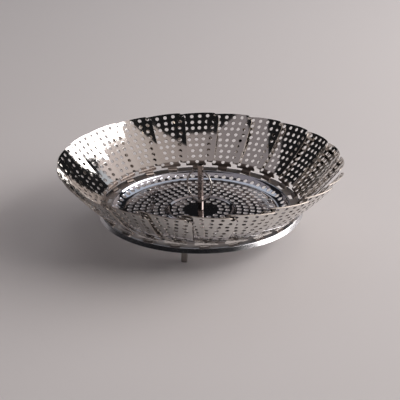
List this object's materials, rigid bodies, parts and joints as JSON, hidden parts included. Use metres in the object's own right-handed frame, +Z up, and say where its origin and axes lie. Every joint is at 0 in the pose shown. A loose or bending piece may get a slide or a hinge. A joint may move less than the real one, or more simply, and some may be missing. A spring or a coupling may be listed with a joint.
{
  "type": "folding steamer basket",
  "caption": "Folding steamer basket: a perforated tray on three short legs, overlapping perforated petals hinged round its brim, and a centre post with a finger ring.",
  "frame": {"origin": "on the centre post's axis, at the surface that the feet stand on", "axes": "+Z up along the post; -Y towards the picture's camera, +X to its right"},
  "size_m": [0.1924, 0.1916, 0.0541],
  "materials": {
    "petal_steel": "polished stainless sheet",
    "tray_steel": "polished stainless sheet",
    "post_steel": "polished stainless rod",
    "wire_steel": "drawn stainless wire",
    "leg_steel": "bright stainless strip",
    "fastener_steel": "plain stainless"
  },
  "bodies": {
    "base": {"base_tray": "tray_steel", "post": "post_steel", "post_washer": "fastener_steel", "post_nut": "fastener_steel", "leg_bracket_1": "leg_steel", "leg_bracket_2": "leg_steel", "leg_bracket_3": "leg_steel", "leg_pin_1": "fastener_steel", "leg_pin_2": "fastener_steel", "leg_pin_3": "fastener_steel", "leg_rivet_1": "fastener_steel", "leg_rivet_2": "fastener_steel", "leg_rivet_3": "fastener_steel"},
    "petal_01": {"petal_01": "petal_steel"},
    "petal_02": {"petal_02": "petal_steel"},
    "petal_03": {"petal_03": "petal_steel"},
    "petal_04": {"petal_04": "petal_steel"},
    "petal_05": {"petal_05": "petal_steel"},
    "petal_06": {"petal_06": "petal_steel"},
    "petal_07": {"petal_07": "petal_steel"},
    "petal_08": {"petal_08": "petal_steel"},
    "petal_09": {"petal_09": "petal_steel"},
    "petal_10": {"petal_10": "petal_steel"},
    "petal_11": {"petal_11": "petal_steel"},
    "petal_12": {"petal_12": "petal_steel"},
    "petal_13": {"petal_13": "petal_steel"},
    "petal_14": {"petal_14": "petal_steel"},
    "petal_15": {"petal_15": "petal_steel"},
    "petal_16": {"petal_16": "petal_steel"},
    "petal_17": {"petal_17": "petal_steel"},
    "petal_18": {"petal_18": "petal_steel"},
    "petal_19": {"petal_19": "petal_steel"},
    "petal_20": {"petal_20": "petal_steel"},
    "petal_21": {"petal_21": "petal_steel"},
    "petal_22": {"petal_22": "petal_steel"},
    "finger_ring": {"finger_ring": "wire_steel"},
    "leg_1": {"leg_1": "leg_steel"},
    "leg_2": {"leg_2": "leg_steel"},
    "leg_3": {"leg_3": "leg_steel"}
  },
  "joints": [
    {"name": "petal_01_hinge", "type": "hinge", "parent": "base", "child": "petal_01", "pos_m": [-0.00242, 0.06611, 0.0198], "axis": [0.9944, 0.0365, -0.0993], "range_deg": [-35, 75]},
    {"name": "petal_02_hinge", "type": "hinge", "parent": "base", "child": "petal_02", "pos_m": [0.0163, 0.06411, 0.0198], "axis": [0.9644, -0.2452, -0.0993], "range_deg": [-35, 75]},
    {"name": "petal_03_hinge", "type": "hinge", "parent": "base", "child": "petal_03", "pos_m": [0.0337, 0.05692, 0.0198], "axis": [0.8562, -0.5069, -0.0993], "range_deg": [-35, 75]},
    {"name": "petal_04_hinge", "type": "hinge", "parent": "base", "child": "petal_04", "pos_m": [0.04837, 0.04512, 0.0198], "axis": [0.6787, -0.7276, -0.0993], "range_deg": [-35, 75]},
    {"name": "petal_05_hinge", "type": "hinge", "parent": "base", "child": "petal_05", "pos_m": [0.05912, 0.02967, 0.0198], "axis": [0.4463, -0.8894, -0.0993], "range_deg": [-35, 75]},
    {"name": "petal_06_hinge", "type": "hinge", "parent": "base", "child": "petal_06", "pos_m": [0.06509, 0.01181, 0.0198], "axis": [0.1776, -0.9791, -0.0993], "range_deg": [-35, 75]},
    {"name": "petal_07_hinge", "type": "hinge", "parent": "base", "child": "petal_07", "pos_m": [0.06578, -0.00701, 0.0198], "axis": [-0.1054, -0.9895, -0.0993], "range_deg": [-35, 75]},
    {"name": "petal_08_hinge", "type": "hinge", "parent": "base", "child": "petal_08", "pos_m": [0.06114, -0.02526, 0.0198], "axis": [-0.3799, -0.9197, -0.0993], "range_deg": [-35, 75]},
    {"name": "petal_09_hinge", "type": "hinge", "parent": "base", "child": "petal_09", "pos_m": [0.05155, -0.04146, 0.0198], "axis": [-0.6236, -0.7754, -0.0993], "range_deg": [-35, 75]},
    {"name": "petal_10_hinge", "type": "hinge", "parent": "base", "child": "petal_10", "pos_m": [0.03778, -0.0543, 0.0198], "axis": [-0.8168, -0.5683, -0.0993], "range_deg": [-35, 75]},
    {"name": "petal_11_hinge", "type": "hinge", "parent": "base", "child": "petal_11", "pos_m": [0.02095, -0.06274, 0.0198], "axis": [-0.9438, -0.3151, -0.0993], "range_deg": [-35, 75]},
    {"name": "petal_12_hinge", "type": "hinge", "parent": "base", "child": "petal_12", "pos_m": [0.00242, -0.06611, 0.0198], "axis": [-0.9944, -0.0365, -0.0993], "range_deg": [-35, 75]},
    {"name": "petal_13_hinge", "type": "hinge", "parent": "base", "child": "petal_13", "pos_m": [-0.0163, -0.06411, 0.0198], "axis": [-0.9644, 0.2452, -0.0993], "range_deg": [-35, 75]},
    {"name": "petal_14_hinge", "type": "hinge", "parent": "base", "child": "petal_14", "pos_m": [-0.0337, -0.05692, 0.0198], "axis": [-0.8562, 0.5069, -0.0993], "range_deg": [-35, 75]},
    {"name": "petal_15_hinge", "type": "hinge", "parent": "base", "child": "petal_15", "pos_m": [-0.04837, -0.04512, 0.0198], "axis": [-0.6787, 0.7276, -0.0993], "range_deg": [-35, 75]},
    {"name": "petal_16_hinge", "type": "hinge", "parent": "base", "child": "petal_16", "pos_m": [-0.05912, -0.02967, 0.0198], "axis": [-0.4463, 0.8894, -0.0993], "range_deg": [-35, 75]},
    {"name": "petal_17_hinge", "type": "hinge", "parent": "base", "child": "petal_17", "pos_m": [-0.06509, -0.01181, 0.0198], "axis": [-0.1776, 0.9791, -0.0993], "range_deg": [-35, 75]},
    {"name": "petal_18_hinge", "type": "hinge", "parent": "base", "child": "petal_18", "pos_m": [-0.06578, 0.00701, 0.0198], "axis": [0.1054, 0.9895, -0.0993], "range_deg": [-35, 75]},
    {"name": "petal_19_hinge", "type": "hinge", "parent": "base", "child": "petal_19", "pos_m": [-0.06114, 0.02526, 0.0198], "axis": [0.3799, 0.9197, -0.0993], "range_deg": [-35, 75]},
    {"name": "petal_20_hinge", "type": "hinge", "parent": "base", "child": "petal_20", "pos_m": [-0.05155, 0.04146, 0.0198], "axis": [0.6236, 0.7754, -0.0993], "range_deg": [-35, 75]},
    {"name": "petal_21_hinge", "type": "hinge", "parent": "base", "child": "petal_21", "pos_m": [-0.03778, 0.0543, 0.0198], "axis": [0.8168, 0.5683, -0.0993], "range_deg": [-35, 75]},
    {"name": "petal_22_hinge", "type": "hinge", "parent": "base", "child": "petal_22", "pos_m": [-0.02095, 0.06274, 0.0198], "axis": [0.9438, 0.3151, -0.0993], "range_deg": [-35, 75]},
    {"name": "finger_ring_swing", "type": "hinge", "parent": "base", "child": "finger_ring", "pos_m": [0, 0, 0.045], "axis": [-0.766, 0.6428, 0], "range_deg": [0, 340]},
    {"name": "leg_1_fold", "type": "hinge", "parent": "base", "child": "leg_1", "pos_m": [0.0438, 0.01339, 0.0119], "axis": [-0.2924, 0.9563, 0], "range_deg": [0, 105]},
    {"name": "leg_2_fold", "type": "hinge", "parent": "base", "child": "leg_2", "pos_m": [-0.0103, -0.04463, 0.0119], "axis": [0.9744, -0.225, 0], "range_deg": [0, 105]},
    {"name": "leg_3_fold", "type": "hinge", "parent": "base", "child": "leg_3", "pos_m": [-0.0335, 0.03124, 0.0119], "axis": [-0.682, -0.7314, 0], "range_deg": [0, 105]}
  ],
  "couplings": [
    {"joint": "petal_02_hinge", "follows": "petal_01_hinge", "ratio": 1},
    {"joint": "petal_03_hinge", "follows": "petal_01_hinge", "ratio": 1},
    {"joint": "petal_04_hinge", "follows": "petal_01_hinge", "ratio": 1},
    {"joint": "petal_05_hinge", "follows": "petal_01_hinge", "ratio": 1},
    {"joint": "petal_06_hinge", "follows": "petal_01_hinge", "ratio": 1},
    {"joint": "petal_07_hinge", "follows": "petal_01_hinge", "ratio": 1},
    {"joint": "petal_08_hinge", "follows": "petal_01_hinge", "ratio": 1},
    {"joint": "petal_09_hinge", "follows": "petal_01_hinge", "ratio": 1},
    {"joint": "petal_10_hinge", "follows": "petal_01_hinge", "ratio": 1},
    {"joint": "petal_11_hinge", "follows": "petal_01_hinge", "ratio": 1},
    {"joint": "petal_12_hinge", "follows": "petal_01_hinge", "ratio": 1},
    {"joint": "petal_13_hinge", "follows": "petal_01_hinge", "ratio": 1},
    {"joint": "petal_14_hinge", "follows": "petal_01_hinge", "ratio": 1},
    {"joint": "petal_15_hinge", "follows": "petal_01_hinge", "ratio": 1},
    {"joint": "petal_16_hinge", "follows": "petal_01_hinge", "ratio": 1},
    {"joint": "petal_17_hinge", "follows": "petal_01_hinge", "ratio": 1},
    {"joint": "petal_18_hinge", "follows": "petal_01_hinge", "ratio": 1},
    {"joint": "petal_19_hinge", "follows": "petal_01_hinge", "ratio": 1},
    {"joint": "petal_20_hinge", "follows": "petal_01_hinge", "ratio": 1},
    {"joint": "petal_21_hinge", "follows": "petal_01_hinge", "ratio": 1},
    {"joint": "petal_22_hinge", "follows": "petal_01_hinge", "ratio": 1}
  ]
}
